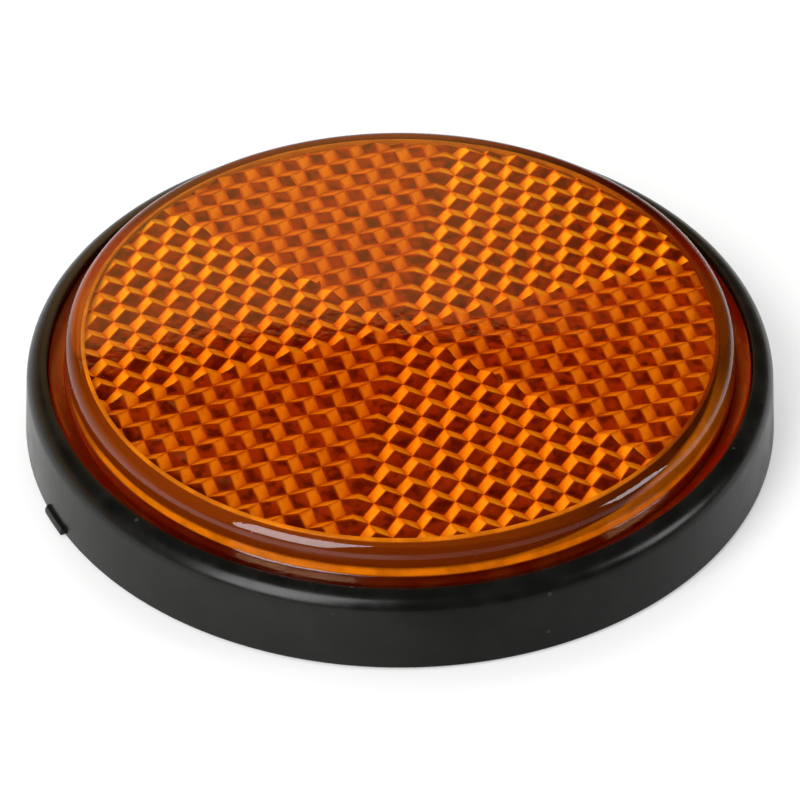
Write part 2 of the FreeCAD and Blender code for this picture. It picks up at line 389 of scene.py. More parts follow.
def lensFinish(look, spot):
    # 0 outside, 1 prisms, 2 what else looks inwards or down, 3 flange; the small numbers are margins in mm
    reach = math.hypot(spot.x, spot.y) / mm
    height = spot.z / mm
    inner = reach < look["skirt"] - 0.1 and height < look["back"] + 0.05
    if inner and reach < look["field"] - 0.02:
        return 1
    if inner or height < look["flangeTop"] - 0.3:
        return 2
    return 3 if reach > look["skirt"] + 0.1 else 0


def lensPiece(look, clear, facets, wall, groove):
    lens = pieceFrom("lens_amber", turnedMesh("lens_amber", lensOutline(look), look["segments"]))
    block = prismBlock(look, facets)
    low, high = look["fieldLow"], look["back"] + look["fieldRise"]
    bound = [(0, low), (look["field"], low), (look["field"], high), (0, high)]
    combine(block, pieceFrom("fieldBound", turnedMesh("fieldBound", bound, look["fieldSegments"])), "INTERSECT")
    combine(lens, block, "UNION")
    lens.data.materials.clear()
    for material in (clear, facets, wall, groove):
        lens.data.materials.append(material)
    for face in lens.data.polygons:
        face.material_index = lensFinish(look, face.center)
    for vertex in lens.data.vertices:  # prism corners only, inside the edge of the field
        inField = math.hypot(vertex.co.x, vertex.co.y) < (look["field"] - 0.1) * mm
        if inField and vertex.co.z < (look["root"] + 0.05) * mm:
            vertex.co += noise.noise_vector(vertex.co * look["unevenScale"]) * look["uneven"] * mm
    smoothBy(lens, look["sharp"])
    print("lens:", len(lens.data.polygons), "faces")
    return lens


# black housing: cup with ledge, cored slots and a gate stub

housingLook = {
    "foot": 30.0,
    "footRounding": 0.2,
    "lip": 29.6,
    "lipTop": 6.4,
    "lipRounding": 1.5,
    "bore": 28.0,
    "boreRounding": 0.08,
    "seat": 4.6,
    "seatRounding": 0.1,
    "ledge": 25.4,
    "edgeRounding": 0.15,
    "floorTop": 2.4,
    "floorRounding": 0.3,
    "recess": 24.4,
    "recessTop": 1.0,
    "slotInner": 26.6,
    "slotOuter": 28.5,
    "slotLow": -1.0,  # mm, clear of the foot
    "slotTop": 3.4,
    "slotCount": 12,
    "slotSteps": 24,
    "ribAngle": 4.0,
    "gateTurn": 206.7,
    "gateAngle": 5.6,
    "gateSteps": 8,
    "gate": (  # mm out from the foot, and up
        (-0.75, 0.02), (0.27, 0.02), (0.35, 0.12), (0.35, 0.45), (0.21, 0.72), (-0.1, 0.9), (-0.75, 0.9)),
    "steps": 10,
    "sharp": 30,  # degrees
    "segments": 320,
}


def arcBlock(name, outline, start, sweep, steps):
    # closed block: outline in (r, z) mm swept around Z
    bm = bmesh.new()
    rows = []
    for k in range(steps + 1):
        a = math.radians(start + sweep * k / steps)
        rows.append([bm.verts.new(polar(r, z, a)) for r, z in outline])
    count = len(outline)
    for k in range(steps):
        for i in range(count):
            n = (i + 1) % count
            bm.faces.new((rows[k][i], rows[k][n], rows[k + 1][n], rows[k + 1][i]))
    bm.faces.new(rows[0])
    bm.faces.new(rows[-1][::-1])
    bmesh.ops.recalc_face_normals(bm, faces=bm.faces)
    return meshFrom(bm, name)


def slotTree():
    # one slot cutter repeated around the axis and taken out of the cup
    tree, start, stop = newGroup("slotRing", "GeometryNodeTree", [
        ("Geometry", "NodeSocketGeometry", None),
        ("Slot", "NodeSocketObject", None),
        ("Count", "NodeSocketInt", None),
        ("Material", "NodeSocketMaterial", None),
    ], [("Geometry", "NodeSocketGeometry")])
    cutter = addNode(tree, "GeometryNodeObjectInfo")
    wire(tree, start.outputs["Slot"], cutter.inputs["Object"])
    ring = addNode(tree, "GeometryNodeMeshLine", mode="OFFSET")
    wire(tree, start.outputs["Count"], ring.inputs["Count"])
    ring.inputs["Offset"].default_value = (0, 0, 0)
    index = addNode(tree, "GeometryNodeInputIndex").outputs[0]
    part = compute(tree, "DIVIDE", index, start.outputs["Count"])
    spin = addNode(tree, "ShaderNodeCombineXYZ")
    wire(tree, compute(tree, "MULTIPLY", part, 2 * math.pi), spin.inputs["Z"])
    copies = addNode(tree, "GeometryNodeInstanceOnPoints")
    wire(tree, ring.outputs[0], copies.inputs["Points"])
    wire(tree, cutter.outputs["Geometry"], copies.inputs["Instance"])
    wire(tree, spin.outputs[0], copies.inputs["Rotation"])
    real = addNode(tree, "GeometryNodeRealizeInstances")
    wire(tree, copies.outputs[0], real.inputs[0])
    cut = addNode(tree, "GeometryNodeMeshBoolean", operation="DIFFERENCE", solver="EXACT")
    wire(tree, start.outputs["Geometry"], cut.inputs["Mesh 1"])
    wire(tree, real.outputs[0], cut.inputs["Mesh 2"])
    finishShape(tree, cut.outputs["Mesh"], start, stop)
    return tree


def housingPiece(look, material):
    outline = roundedOutline([
        (0.0, look["recessTop"], 0),
        (look["recess"], look["recessTop"], look["edgeRounding"]),
        (look["recess"], 0.0, look["edgeRounding"]),
        (look["foot"], 0.0, look["footRounding"]),
        (look["lip"], look["lipTop"], look["lipRounding"]),
        (look["bore"], look["lipTop"], look["boreRounding"]),
        (look["bore"], look["seat"], look["seatRounding"]),
        (look["ledge"], look["seat"], look["edgeRounding"]),
        (look["ledge"], look["floorTop"], look["floorRounding"]),
        (0.0, look["floorTop"], 0),
    ], steps=look["steps"])
    cup = pieceFrom("housing_black", turnedMesh("housing_black", outline, look["segments"]))
    stub = [(look["foot"] + out, up) for out, up in look["gate"]]
    first = look["gateTurn"] - look["gateAngle"] / 2
    stub = arcBlock("gateStub", stub, first, look["gateAngle"], look["gateSteps"])
    combine(cup, pieceFrom("gateStub", stub), "UNION")
    slot = [
        (look["slotInner"], look["slotLow"]),
        (look["slotOuter"], look["slotLow"]),
        (look["slotOuter"], look["slotTop"]),
        (look["slotInner"], look["slotTop"]),
    ]
    sweep = 360 / look["slotCount"] - look["ribAngle"]
    cutter = pieceFrom("slotCutter", arcBlock("slotCutter", slot, 0.0, sweep, look["slotSteps"]))
    ring = cup.modifiers.new("slots", "NODES")
    ring.node_group = slotTree()
    setInputs(ring, {"Slot": cutter, "Count": look["slotCount"], "Material": material})
    settle(cup)
    bpy.data.objects.remove(cutter)
    cup.data.materials.clear()
    cup.data.materials.append(material)
    smoothBy(cup, look["sharp"])
    print("housing:", len(cup.data.polygons), "faces")
    return cup


# foam pad in the back

padLook = {"radius": 24.1, "bottom": 0.02, "thickness": 1.0, "rounding": 0.08, "sharp": 40, "segments": 160}


def padPiece(look, material):
    outline = roundedOutline([
        (0.0, look["bottom"], 0),
        (look["radius"], look["bottom"], look["rounding"]),
        (look["radius"], look["thickness"], look["rounding"]),
        (0.0, look["thickness"], 0),
    ])
    pad = pieceFrom("pad_foam", turnedMesh("pad_foam", outline, look["segments"]))
    pad.data.materials.append(material)
    smoothBy(pad, look["sharp"])
    print("pad:", len(pad.data.polygons), "faces")
    return pad


# finishes: shared effects as node groups, then one material per finish

def product(tree, first, *others):
    for value in others:
        first = compute(tree, "MULTIPLY", first, value)
    return first


def ramp(tree, value, low, high, least=0.0, most=1.0):
    node = addNode(tree, "ShaderNodeMapRange", interpolation_type="SMOOTHSTEP")
    labels = ("Value", "From Min", "From Max", "To Min", "To Max")
    for label, part in zip(labels, (value, low, high, least, most)):
        feed(tree, part, node.inputs[label])
    return node.outputs["Result"]


def blend(tree, share, one, two):
    node = addNode(tree, "ShaderNodeMix", data_type="RGBA")
    for socket, value in ((node.inputs[0], share), (node.inputs[6], one), (node.inputs[7], two)):
        feed(tree, value, socket)
    return node.outputs[2]


def between(tree, share, one, two):
    node = addNode(tree, "ShaderNodeMix", data_type="FLOAT")
    for socket, value in ((node.inputs[0], share), (node.inputs[2], one), (node.inputs[3], two)):
        feed(tree, value, socket)
    return node.outputs[0]


def mixed(tree, share, one, two):
    node = addNode(tree, "ShaderNodeMixShader")
    for socket, value in zip(node.inputs, (share, one, two)):
        wire(tree, value, socket)
    return node.outputs[0]


def speckGroup():
    # small dust specks scattered at random, of different sizes and with soft edges
    tree, start, stop = newGroup("dustSpecks", "ShaderNodeTree", [
        ("Vector", "NodeSocketVector", None),
        ("Scale", "NodeSocketFloat", 1.0),
        ("Size", "NodeSocketFloat", 0.1),
        ("Share", "NodeSocketFloat", 0.3),
    ], [("Mask", "NodeSocketFloat")])
    cells = addNode(tree, "ShaderNodeTexVoronoi", feature="F1")
    wire(tree, start.outputs["Vector"], cells.inputs["Vector"])
    wire(tree, start.outputs["Scale"], cells.inputs["Scale"])
    chance = addNode(tree, "ShaderNodeSeparateColor")
    wire(tree, cells.outputs["Color"], chance.inputs[0])
    size = compute(tree, "ADD", chance.outputs["Green"], 0.3)
    radius = compute(tree, "MULTIPLY", start.outputs["Size"], size)
    spot = ramp(tree, cells.outputs["Distance"], compute(tree, "MULTIPLY", radius, 0.6), radius, 1.0, 0.0)
    kept = compute(tree, "LESS_THAN", chance.outputs["Red"], start.outputs["Share"])
    wire(tree, compute(tree, "MULTIPLY", spot, kept), stop.inputs["Mask"])
    return tree


def scratchGroup():
    # fine straight scratches in two directions: only the crests of a stretched noise show
    tree, start, stop = newGroup("fineScratches", "ShaderNodeTree", [
        ("Vector", "NodeSocketVector", None),
        ("Spacing", "NodeSocketFloat", 1.0),
        ("Share", "NodeSocketFloat", 0.2),
    ], [("Mask", "NodeSocketFloat")])
    total = None
    for turn, grain in ((24.0, 1.0), (-53.0, 1.7)):
        lie = addNode(tree, "ShaderNodeMapping")
        wire(tree, start.outputs["Vector"], lie.inputs["Vector"])
        lie.inputs["Rotation"].default_value = (0, 0, math.radians(turn))
        lie.inputs["Scale"].default_value = (0.16 * grain, 5.0 * grain, 0.4)
        lines = addNode(tree, "ShaderNodeTexNoise")
        lines.inputs["Detail"].default_value = 1.0
        wire(tree, lie.outputs[0], lines.inputs["Vector"])
        wire(tree, start.outputs["Spacing"], lines.inputs["Scale"])
        high = compute(tree, "SUBTRACT", 0.86, compute(tree, "MULTIPLY", start.outputs["Share"], 0.3))
        one = ramp(tree, lines.outputs[0], high, compute(tree, "ADD", high, 0.04))
        total = one if total is None else compute(tree, "MAXIMUM", total, one)
    wire(tree, total, stop.inputs["Mask"])
    return tree


def grainGroup():
    # soft mottling of a moulded surface: a share for colour and a height
    tree, start, stop = newGroup("mouldGrain", "ShaderNodeTree", [
        ("Vector", "NodeSocketVector", None),
        ("Coarse", "NodeSocketFloat", 0.3),
        ("Fine", "NodeSocketFloat", 8.0),
    ], [("Mottle", "NodeSocketFloat"), ("Height", "NodeSocketFloat")])
    noises = []
    for label, detail in (("Coarse", 3.0), ("Fine", 2.0)):
        node = addNode(tree, "ShaderNodeTexNoise")
        node.inputs["Detail"].default_value = detail
        wire(tree, start.outputs["Vector"], node.inputs["Vector"])
        wire(tree, start.outputs[label], node.inputs["Scale"])
        noises.append(node.outputs[0])
    broad, small = noises
    wire(tree, ramp(tree, broad, 0.3, 0.7), stop.inputs["Mottle"])
    wire(tree, compute(tree, "ADD", compute(tree, "MULTIPLY", small, 0.5), broad), stop.inputs["Height"])
    return tree


effects = {"specks": speckGroup(), "scratches": scratchGroup(), "grain": grainGroup()}


def effect(tree, name, vector, **values):
    node = addNode(tree, "ShaderNodeGroup")
    node.node_tree = effects[name]
    wire(tree, vector, node.inputs["Vector"])
    for label, value in values.items():
        node.inputs[label].default_value = value
    return node.outputs


def newMaterial(name):
    material = bpy.data.materials.new(name)
    material.use_nodes = True
    tree = material.node_tree
    tree.nodes.clear()
    out = addNode(tree, "ShaderNodeOutputMaterial")
    shade = addNode(tree, "ShaderNodeBsdfPrincipled")
    wire(tree, shade.outputs[0], out.inputs["Surface"])
    return material, tree, shade, out


def millimetres(tree):
    # object coordinates in mm
    place = addNode(tree, "ShaderNodeMapping")
    place.inputs["Scale"].default_value = (1000, 1000, 1000)
    wire(tree, addNode(tree, "ShaderNodeTexCoord").outputs["Object"], place.inputs["Vector"])
    return place.outputs[0]


def aroundAxis(tree, place):
    # distance from the axis, and the place as X, Y and Z
    spot = apart(tree, place)
    square = [compute(tree, "MULTIPLY", spot[axis], spot[axis]) for axis in "XY"]
    return compute(tree, "SQRT", compute(tree, "ADD", *square)), spot


def bumpFrom(tree, height, strength, distance):
    bump = addNode(tree, "ShaderNodeBump")
    bump.inputs["Strength"].default_value = strength
    bump.inputs["Distance"].default_value = distance
    wire(tree, height, bump.inputs["Height"])
    return bump.outputs[0]


amberLook = {
    "tint": (1.0, 0.80, 0.60),
    "tintWorn": (1.0, 0.76, 0.52),
    "ior": 1.52,
    "flangeIor": 1.2,  # the groove around the lens shows little gloss
    "roughness": 0.04,
    "dustRough": 0.3,
    "scratchRough": 0.16,
    "bump": (0.2, 0.00007),
    "absorb": (0.99, 0.685, 0.02),
    "density": 260.0,  # per metre
    "passing": (1.0, 0.92, 0.80),
}


def amberOutput(tree, solid, passing, out):
    # lamps and bounced light pass the plastic straight, as tinted light; all else goes through its depth
    path = addNode(tree, "ShaderNodeLightPath")
    straight = compute(tree, "MAXIMUM", path.outputs["Is Shadow Ray"], path.outputs["Is Diffuse Ray"])
    through = addNode(tree, "ShaderNodeBsdfTransparent")
    through.inputs["Color"].default_value = (*passing, 1)
    wire(tree, mixed(tree, straight, solid, through.outputs[0]), out.inputs["Surface"])
    depth = addNode(tree, "ShaderNodeVolumeAbsorption")
    depth.inputs["Color"].default_value = (*amberLook["absorb"], 1)
    depth.inputs["Density"].default_value = amberLook["density"]
    wire(tree, depth.outputs[0], out.inputs["Volume"])


def amberPlastic(name, look, ior):
    material, tree, shade, out = newMaterial(name)
    place = millimetres(tree)
    grain = effect(tree, "grain", place, Coarse=0.35, Fine=1.4)
    dust = effect(tree, "specks", place, Scale=0.9, Size=0.12, Share=0.25)
    lines = effect(tree, "scratches", place, Spacing=0.8, Share=0.25)
    wire(tree, blend(tree, grain["Mottle"], look["tint"], look["tintWorn"]), shade.inputs["Base Color"])
    rough = compute(tree, "MULTIPLY", dust["Mask"], look["dustRough"])
    rough = compute(tree, "ADD", rough, compute(tree, "MULTIPLY", lines["Mask"], look["scratchRough"]))
    wire(tree, compute(tree, "ADD", rough, look["roughness"]), shade.inputs["Roughness"])
    wire(tree, bumpFrom(tree, grain["Height"], *look["bump"]), shade.inputs["Normal"])
    shade.inputs["IOR"].default_value = ior
    shade.inputs["Transmission Weight"].default_value = 1.0
    amberOutput(tree, shade.outputs[0], look["passing"], out)
    return material


insideLook = {  # what prism sides and inner walls share
    "deep": (1.0, 0.16, 0.004),  # tint of light that gets through
    "polish": 0.06,
    "ior": 1.52,
    "total": (0.08, 0.75),  # from little reflection to total
    "bump": (0.12, 0.00005),
    "scatterRough": 0.5,
    "passing": (0.95, 0.34, 0.05),
}


def clearPlastic(tree, look, normal):
    clear = addNode(tree, "ShaderNodeBsdfPrincipled")
    clear.inputs["Base Color"].default_value = (*look["deep"], 1)
    clear.inputs["Roughness"].default_value = look["polish"]
    clear.inputs["IOR"].default_value = look["ior"]
    clear.inputs["Transmission Weight"].default_value = 1.0
    wire(tree, normal, clear.inputs["Normal"])
    return clear.outputs[0]


def scatter(tree, shade, colour, roughness):
    shade.inputs["Roughness"].default_value = roughness
    shade.inputs["Specular IOR Level"].default_value = 0.0
    wire(tree, colour, shade.inputs["Base Color"])
    return shade.outputs[0]


def totalShare(tree, look, normal):
    # smooth share of total reflection
    total = addNode(tree, "ShaderNodeFresnel")
    total.inputs["IOR"].default_value = look["ior"]
    wire(tree, normal, total.inputs["Normal"])
    return ramp(tree, total.outputs[0], *look["total"])


facetLook = {
    "bright": (1.0, 0.50, 0.026),
    # painted light: the bright sides are lighter towards the back
    "litBack": (1.0, 0.68, 0.034),
    # painted shade at the edges of each prism side
    "edge": (0.90, 0.24, 0.008),
    "shadedSector": (1.0, 0.38, 0.018),  # painted shade: every other sector, whose bright sides lean away from the left lamps, is a little darker
    # painted shade at the edges in the darker sectors
    "shadedSectorEdge": (0.66, 0.15, 0.004),
    "sector": 51.0,  # degrees, middle of a bright sector
    "sectorEdge": (-0.06, 0.06),
    "behind": (-4.0, 10.0),  # mm, from front to back; the painted light on the bright sides grows along it
    "rim": (-0.3, 0.8),  # painted shade, from the edge of a prism side inwards
    "rimMottle": 0.6,
    "point": (0.4, 1.0, 0.0, 0.9),  # the painted shade also grows towards the point
    "haze": (0.85, 0.105, 0.005),  # faint red scatter in the clear sides
    "hazeShare": (0.05, 0.26),
    "hazeRough": 0.6,
    "rounded": (0.85, 0.15, 0.006),  # scatter at the rounded edges of a prism
    "roundedShare": (0.30, 0.55),  # front and back
    "roundedEdge": (0.0, 0.8),
}


def amberFacets(look, inside):
    # prism sides: bright where they reflect totally, clear where one looks through
    material, tree, shade, out = newMaterial("amberFacets")
    place = millimetres(tree)
    grain = effect(tree, "grain", place, Coarse=0.9, Fine=6.0)
    normal = bumpFrom(tree, grain["Height"], *inside["bump"])
    spot = apart(tree, place)
    # painted shade: every other sector of the field gets the darker colours
    turn = compute(tree, "ARCTAN2", spot["Y"], spot["X"])
    turn = compute(tree, "SUBTRACT", turn, math.radians(look["sector"]))
    wave = compute(tree, "COSINE", compute(tree, "MULTIPLY", turn, 3))
    shadedSectors = ramp(tree, wave, *look["sectorEdge"], 1.0, 0.0)
    core = apart(tree, addNode(tree, "ShaderNodeUVMap", uv_map="core").outputs[0])
    # painted shade along the edges of each prism side and towards its point
    inwards = compute(tree, "SUBTRACT", core["X"], compute(tree, "MULTIPLY", grain["Mottle"], look["rimMottle"]))
    rim = ramp(tree, inwards, *look["rim"], 1.0, 0.0)
    rim = compute(tree, "MAXIMUM", rim, ramp(tree, core["Y"], *look["point"]))
    # painted light: the bright sides grow lighter towards the back
    behind = ramp(tree, spot["Y"], *look["behind"])
    bright = blend(tree, rim, blend(tree, behind, look["bright"], look["litBack"]), look["edge"])
    shadedSector = blend(tree, rim, look["shadedSector"], look["shadedSectorEdge"])
    amber = scatter(tree, shade, blend(tree, shadedSectors, bright, shadedSector), inside["scatterRough"])
    wire(tree, normal, shade.inputs["Normal"])
    near = ramp(tree, core["X"], *look["roundedEdge"], 1.0, 0.0)
    rounded = compute(tree, "MULTIPLY", near, ramp(tree, behind, 0.0, 1.0, *look["roundedShare"]))
    share = ramp(tree, grain["Mottle"], 0.0, 1.0, *look["hazeShare"])
    share = compute(tree, "MAXIMUM", share, rounded)
    red = blend(tree, near, look["haze"], look["rounded"])
    haze = scatter(tree, addNode(tree, "ShaderNodeBsdfPrincipled"), red, look["hazeRough"])
    clear = mixed(tree, share, clearPlastic(tree, inside, normal), haze)
    solid = mixed(tree, totalShare(tree, inside, normal), clear, amber)
    amberOutput(tree, solid, inside["passing"], out)
    return material


wallLook = {
    "line": (0.92, 0.34, 0.014),  # painted highlight: a bright ring around the prisms
    # the painted highlight ring, fainter towards the back
    "lineBack": (0.52, 0.17, 0.012),
    "lineShadedRight": (0.20, 0.022, 0.002),  # painted shade on the ring, on the right
    "lineLevel": (8.17, 8.27),  # mm
    "border": (0.62, 0.20, 0.012),  # cut ends of the prisms
    "borderEdge": (24.95, 25.0),
    "behind": (-6.0, 10.0),
    "farSide": (14.0, 24.0),
    "wall": (0.22, 0.050, 0.006),
    "wallFar": (0.09, 0.020, 0.003),  # away from the window
    "right": (6.0, 22.0),
    "foot": (1.0, 0.39, 0.012),  # painted highlight line where the side wall meets the flange
    "footLevel": (6.15, 6.45),
    "footRise": 1.1,  # the light reaches higher on the right
    "front": (-14.0, -3.0, 1.0, 0.15),  # the painted highlight on the foot is strong towards the front
    "flange": (0.30, 0.015, 0.0006),
    "flangeFront": (0.11, 0.007, 0.0004),  # in the shade of the lip
    "flangeShade": (-24.0, -12.0),
    "flangeLevel": (5.55, 5.8),
    "wear": 0.4,
    "share": 0.7,
}


def amberWall(look, inside):
    # inner side of the wall and flange, which carry light sideways; their colours hold painted highlight lines
    # and painted shade
    material, tree, shade, out = newMaterial("amberWall")
    place = millimetres(tree)
    grain = effect(tree, "grain", place, Coarse=0.5, Fine=5.0)
    normal = bumpFrom(tree, grain["Height"], *inside["bump"])
    reach, spot = aroundAxis(tree, place)
    far = ramp(tree, spot["X"], *look["farSide"])
    right = ramp(tree, spot["X"], *look["right"])
    # painted highlight ring at the top of the wall, fainter at the back, with painted shade on the right
    line = blend(tree, ramp(tree, spot["Y"], *look["behind"]), look["line"], look["lineBack"])
    line = blend(tree, far, line, look["lineShadedRight"])
    side = blend(tree, right, look["wall"], look["wallFar"])
    border = blend(tree, far, look["border"], look["lineShadedRight"])
    side = blend(tree, ramp(tree, reach, *look["borderEdge"]), border, side)
    tone = blend(tree, ramp(tree, spot["Z"], *look["lineLevel"]), side, line)
    # painted highlight line at the foot of the wall, reaching higher on the right and strong in front
    level = compute(tree, "SUBTRACT", spot["Z"], compute(tree, "MULTIPLY", right, look["footRise"]))
    foot = ramp(tree, level, *look["footLevel"], 1.0, 0.0)
    foot = compute(tree, "MULTIPLY", ramp(tree, spot["Y"], *look["front"]), foot)
    tone = blend(tree, foot, tone, look["foot"])
    red = blend(tree, ramp(tree, spot["Y"], *look["flangeShade"]), look["flangeFront"], look["flange"])
    tone = blend(tree, ramp(tree, spot["Z"], *look["flangeLevel"], 1.0, 0.0), tone, red)
    worn = blend(tree, ramp(tree, grain["Mottle"], 0.0, 1.0, 0.0, look["wear"]), tone, look["wall"])
    amber = scatter(tree, shade, worn, inside["scatterRough"])
    wire(tree, normal, shade.inputs["Normal"])
    share = compute(tree, "MAXIMUM", totalShare(tree, inside, normal), look["share"])
    solid = mixed(tree, share, clearPlastic(tree, inside, normal), amber)
    amberOutput(tree, solid, inside["passing"], out)
    return material


blackLook = {
    "colour": (0.0036, 0.0038, 0.0033),
    "worn": (0.0066, 0.0068, 0.0058),
    "dust": (0.045, 0.043, 0.038),
    "dustShare": 0.6,
    "inside": (0.26, 0.24, 0.22),  # painted light: a pale floor under the lens, so the clear prism sides show more light
    "insideReach": (26.2, 26.5),  # mm
    "insideLow": (2.0, 2.3),
    "insideHigh": (5.9, 6.2),
    "roughness": 0.22,
    "mottleRough": 0.08,
    "scratchRough": 0.2,
    "bump": (0.10, 0.00004),
    "specular": 0.34,
}


def blackPlastic(look):
    material, tree, shade = newMaterial("blackPlastic")[:3]
    place = millimetres(tree)
    grain = effect(tree, "grain", place, Coarse=0.35, Fine=12.0)
    dust = effect(tree, "specks", place, Scale=0.55, Size=0.1, Share=0.3)
    lines = effect(tree, "scratches", place, Spacing=0.5, Share=0.25)
    reach, spot = aroundAxis(tree, place)
    # painted light: pale grey floor under the lens that brightens what the clear prism sides show
    inside = product(
        tree,
        ramp(tree, spot["Z"], *look["insideLow"]),
        ramp(tree, reach, *look["insideReach"], 1.0, 0.0),
        ramp(tree, spot["Z"], *look["insideHigh"], 1.0, 0.0))
    body = blend(tree, grain["Mottle"], look["colour"], look["worn"])
    body = blend(tree, compute(tree, "MULTIPLY", dust["Mask"], look["dustShare"]), body, look["dust"])
    wire(tree, blend(tree, inside, body, look["inside"]), shade.inputs["Base Color"])
    rough = compute(tree, "MULTIPLY", grain["Mottle"], look["mottleRough"])
    rough = compute(tree, "ADD", rough, compute(tree, "MULTIPLY", lines["Mask"], look["scratchRough"]))
    wire(tree, compute(tree, "ADD", rough, look["roughness"]), shade.inputs["Roughness"])
    wire(tree, bumpFrom(tree, grain["Height"], *look["bump"]), shade.inputs["Normal"])
    shade.inputs["Specular IOR Level"].default_value = look["specular"]
    return material


foamLook = {
    "colour": (0.035, 0.035, 0.036),
    "pore": (0.012, 0.012, 0.012),
    "roughness": 0.85,
    "bump": (0.5, 0.0002),
}


def padFoam(look):
    material, tree, shade = newMaterial("padFoam")[:3]
    place = millimetres(tree)
    pores = effect(tree, "specks", place, Scale=2.6, Size=0.42, Share=0.9)
    grain = effect(tree, "grain", place, Coarse=0.4, Fine=4.0)
    wire(tree, blend(tree, pores["Mask"], look["colour"], look["pore"]), shade.inputs["Base Color"])
    height = compute(tree, "SUBTRACT", grain["Height"], pores["Mask"])
    wire(tree, bumpFrom(tree, height, *look["bump"]), shade.inputs["Normal"])
    shade.inputs["Roughness"].default_value = look["roughness"]
    return material


# studio

cameraLook = {
    "elevation": 39.795,  # degrees
    "distance": 0.35,
    "aim": (0.0, 0.001553, 0.0),
    "focal": 195.2,
    "sensor": 36.0,
    "clip": 0.01,
}


def cameraPiece(look):
    camera = bpy.data.cameras.new("camera")
    camera.lens = look["focal"]
    camera.sensor_width = look["sensor"]
    camera.clip_start = look["clip"]
    eye = bpy.data.objects.new("camera", camera)
    scene.collection.objects.link(eye)
    e = math.radians(look["elevation"])
    eye.location = Vector(look["aim"]) + look["distance"] * Vector((0, -math.cos(e), math.sin(e)))
    eye.rotation_euler = (math.pi / 2 - e, 0, 0)
    scene.camera = eye


def seenDirectly(tree):
    # kinds of rays, and 1 for those of the camera, of gloss and of glass
    rays = addNode(tree, "ShaderNodeLightPath").outputs
    direct = compute(tree, "MAXIMUM", rays["Is Camera Ray"], rays["Is Transmission Ray"])
    return rays, compute(tree, "MAXIMUM", direct, rays["Is Glossy Ray"])


floorLook = {
    "half": 3.0,  # m
    "level": -0.0002,
    "colour": (0.62, 0.62, 0.615),
    "mottle": 0.985,
    "roughness": 0.9,
    "specular": 0.1,
    "glossFront": ((0.58, 0.58, 0.56), (0.18, 0.18, 0.17)),  # painted shade seen only in reflections: a darker floor in front, lighter on the left than on the right
    "frontEdge": (-45.0, 5.0),  # mm
    "sideEdge": (-9.0, 7.0),
    "lift": 0.36,  # share of white that the camera sees on the floor
    "liftDirect": 0.4,  # of which gloss and glass see this part
    "liftCamera": 0.6,
    "horizon": (150.0, 700.0, 0.0, 0.6),  # white up to the horizon
}


def floorPiece(look):
    half, level = look["half"], look["level"]
    corners = [(x * half, y * half, level) for x, y in ((-1, -1), (1, -1), (1, 1), (-1, 1))]
    mesh = bpy.data.meshes.new("floor")
    mesh.from_pydata(corners, [], [(0, 1, 2, 3)])
    floor = pieceFrom("floor", mesh)
    material, tree, shade, out = newMaterial("floorPaper")
    place = millimetres(tree)
    grain = effect(tree, "grain", place, Coarse=0.02, Fine=1.5)
    paper = blend(tree, grain["Mottle"], look["colour"], tuple(c * look["mottle"] for c in look["colour"]))
    shade.inputs["Roughness"].default_value = look["roughness"]
    shade.inputs["Specular IOR Level"].default_value = look["specular"]
    rays, direct = seenDirectly(tree)
    reach, spot = aroundAxis(tree, place)
    # painted shade in the housing's reflection: gloss sees a darker floor in front of the object
    front = ramp(tree, spot["Y"], *look["frontEdge"], 1.0, 0.0)
    front = compute(tree, "MULTIPLY", rays["Is Glossy Ray"], front)
    reflectedShade = blend(tree, ramp(tree, spot["X"], *look["sideEdge"]), *look["glossFront"])
    wire(tree, blend(tree, front, paper, reflectedShade), shade.inputs["Base Color"])
    lift = compute(tree, "MULTIPLY", rays["Is Camera Ray"], look["liftCamera"])
    lift = compute(tree, "ADD", compute(tree, "MULTIPLY", direct, look["liftDirect"]), lift)
    far = compute(tree, "MULTIPLY", rays["Is Camera Ray"], ramp(tree, reach, *look["horizon"]))
    strength = compute(tree, "ADD", compute(tree, "MULTIPLY", lift, look["lift"]), far)
    glow = addNode(tree, "ShaderNodeEmission")
    wire(tree, strength, glow.inputs["Strength"])
    both = addNode(tree, "ShaderNodeAddShader")
    wire(tree, shade.outputs[0], both.inputs[0])
    wire(tree, glow.outputs[0], both.inputs[1])
    wire(tree, both.outputs[0], out.inputs["Surface"])
    mesh.materials.append(material)


worldLook = {
    "ambient": 0.26,
    "backdrop": 0.65,  # what gloss and glass see low around the object
    "fade": (4.0, 22.0),  # degrees, where the backdrop ends
    "front": (-0.45, 0.15, 0.12, 1.0),  # how far it comes round to the front
    "right": (0.2, 0.6, 1.0, 0.25),
    "leftFade": (20.0, 36.0),  # it stands higher on the left
    "leftSide": (-0.45, -0.25, 1.0, 0.0),
    "leftFront": (-0.2, 0.1),
    "card": 1.15,  # a warm card above it at the back on the left
    "cardEdge": (38.6, 39.8),
    "cardLeft": (-0.40, -0.28),
    "cardRight": (0.0, 0.14, 1.0, 0.06),
    "cardFront": (0.2, 0.5),
    "paper": (1.0, 0.98, 0.92),
    "warm": (1.0, 0.50, 0.13),
}


